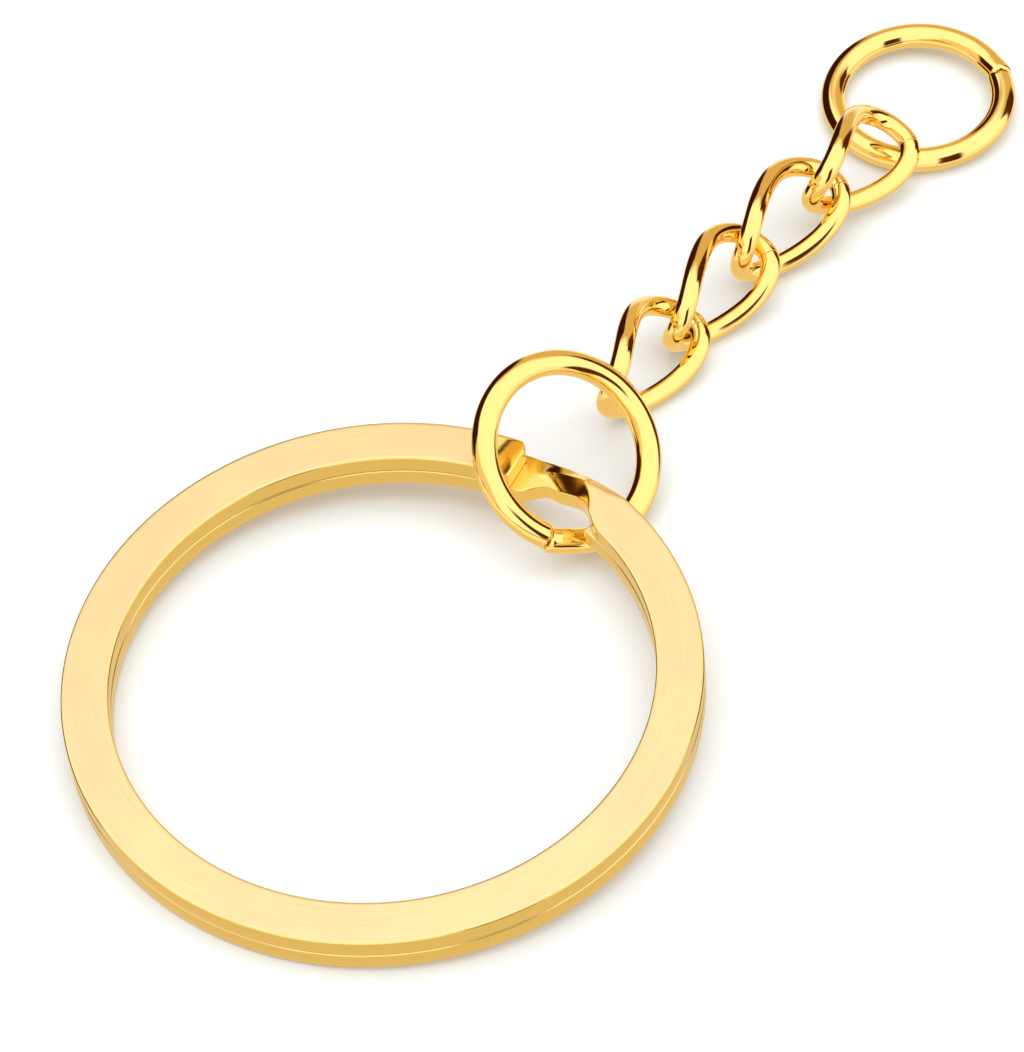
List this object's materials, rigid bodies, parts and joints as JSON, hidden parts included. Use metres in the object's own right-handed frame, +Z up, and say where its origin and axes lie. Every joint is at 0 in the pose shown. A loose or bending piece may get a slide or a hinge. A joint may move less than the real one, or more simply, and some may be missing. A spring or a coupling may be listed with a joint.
{
  "type": "split key ring",
  "caption": "Flat split ring for keys, joined by a round jump ring to a short twisted curb chain that ends in a second jump ring.",
  "frame": {"origin": "under the middle of the whole set, on the surface it lies on", "axes": "+Y along the chain from the split ring to the end ring, +Z up"},
  "size_m": [0.03, 0.0676, 0.007],
  "materials": {
    "satin_gold_strip": "gold-plated flat strip, faintly brushed along the ring",
    "polished_gold_wire": "bright gold-plated round wire"
  },
  "bodies": {
    "split_ring": {"split_ring": "satin_gold_strip"},
    "lower_jump_ring": {"lower_jump_ring": "polished_gold_wire"},
    "chain_link_1": {"chain_link_1": "polished_gold_wire"},
    "chain_link_2": {"chain_link_2": "polished_gold_wire"},
    "chain_link_3": {"chain_link_3": "polished_gold_wire"},
    "chain_link_4": {"chain_link_4": "polished_gold_wire"},
    "end_jump_ring": {"end_jump_ring": "polished_gold_wire"}
  },
  "joints": [
    {"name": "jump_ring_swing", "type": "hinge", "parent": "split_ring", "child": "lower_jump_ring", "pos_m": [-0.00047, -0.004, 0.00285], "axis": [-0.9994, -0.031, -0.0142], "range_deg": [-165, 0]},
    {"name": "first_link_swing", "type": "hinge", "parent": "lower_jump_ring", "child": "chain_link_1", "pos_m": [0.00013, 0.00104, 0.00402], "axis": [-0.7875, -0.0128, 0.6162], "range_deg": [-150, 105]},
    {"name": "second_link_fold", "type": "hinge", "parent": "chain_link_1", "child": "chain_link_2", "pos_m": [-0.00105, 0.00867, 0.00232], "axis": [-0.9841, -0.008, 0.1775], "range_deg": [-95, 16]},
    {"name": "third_link_turn", "type": "hinge", "parent": "chain_link_2", "child": "chain_link_3", "pos_m": [-0.00048, 0.01303, 0.00265], "axis": [-0.2758, 0.058, -0.9595], "range_deg": [-55, 65]},
    {"name": "fourth_link_fold", "type": "hinge", "parent": "chain_link_3", "child": "chain_link_4", "pos_m": [0.00013, 0.01983, 0.00325], "axis": [0.988, -0.0738, -0.1356], "range_deg": [-10, 120]},
    {"name": "end_ring_swing", "type": "hinge", "parent": "chain_link_4", "child": "end_jump_ring", "pos_m": [0.00119, 0.02465, 0.00269], "axis": [-0.9516, 0.1368, 0.2752], "range_deg": [-165, 15]}
  ]
}
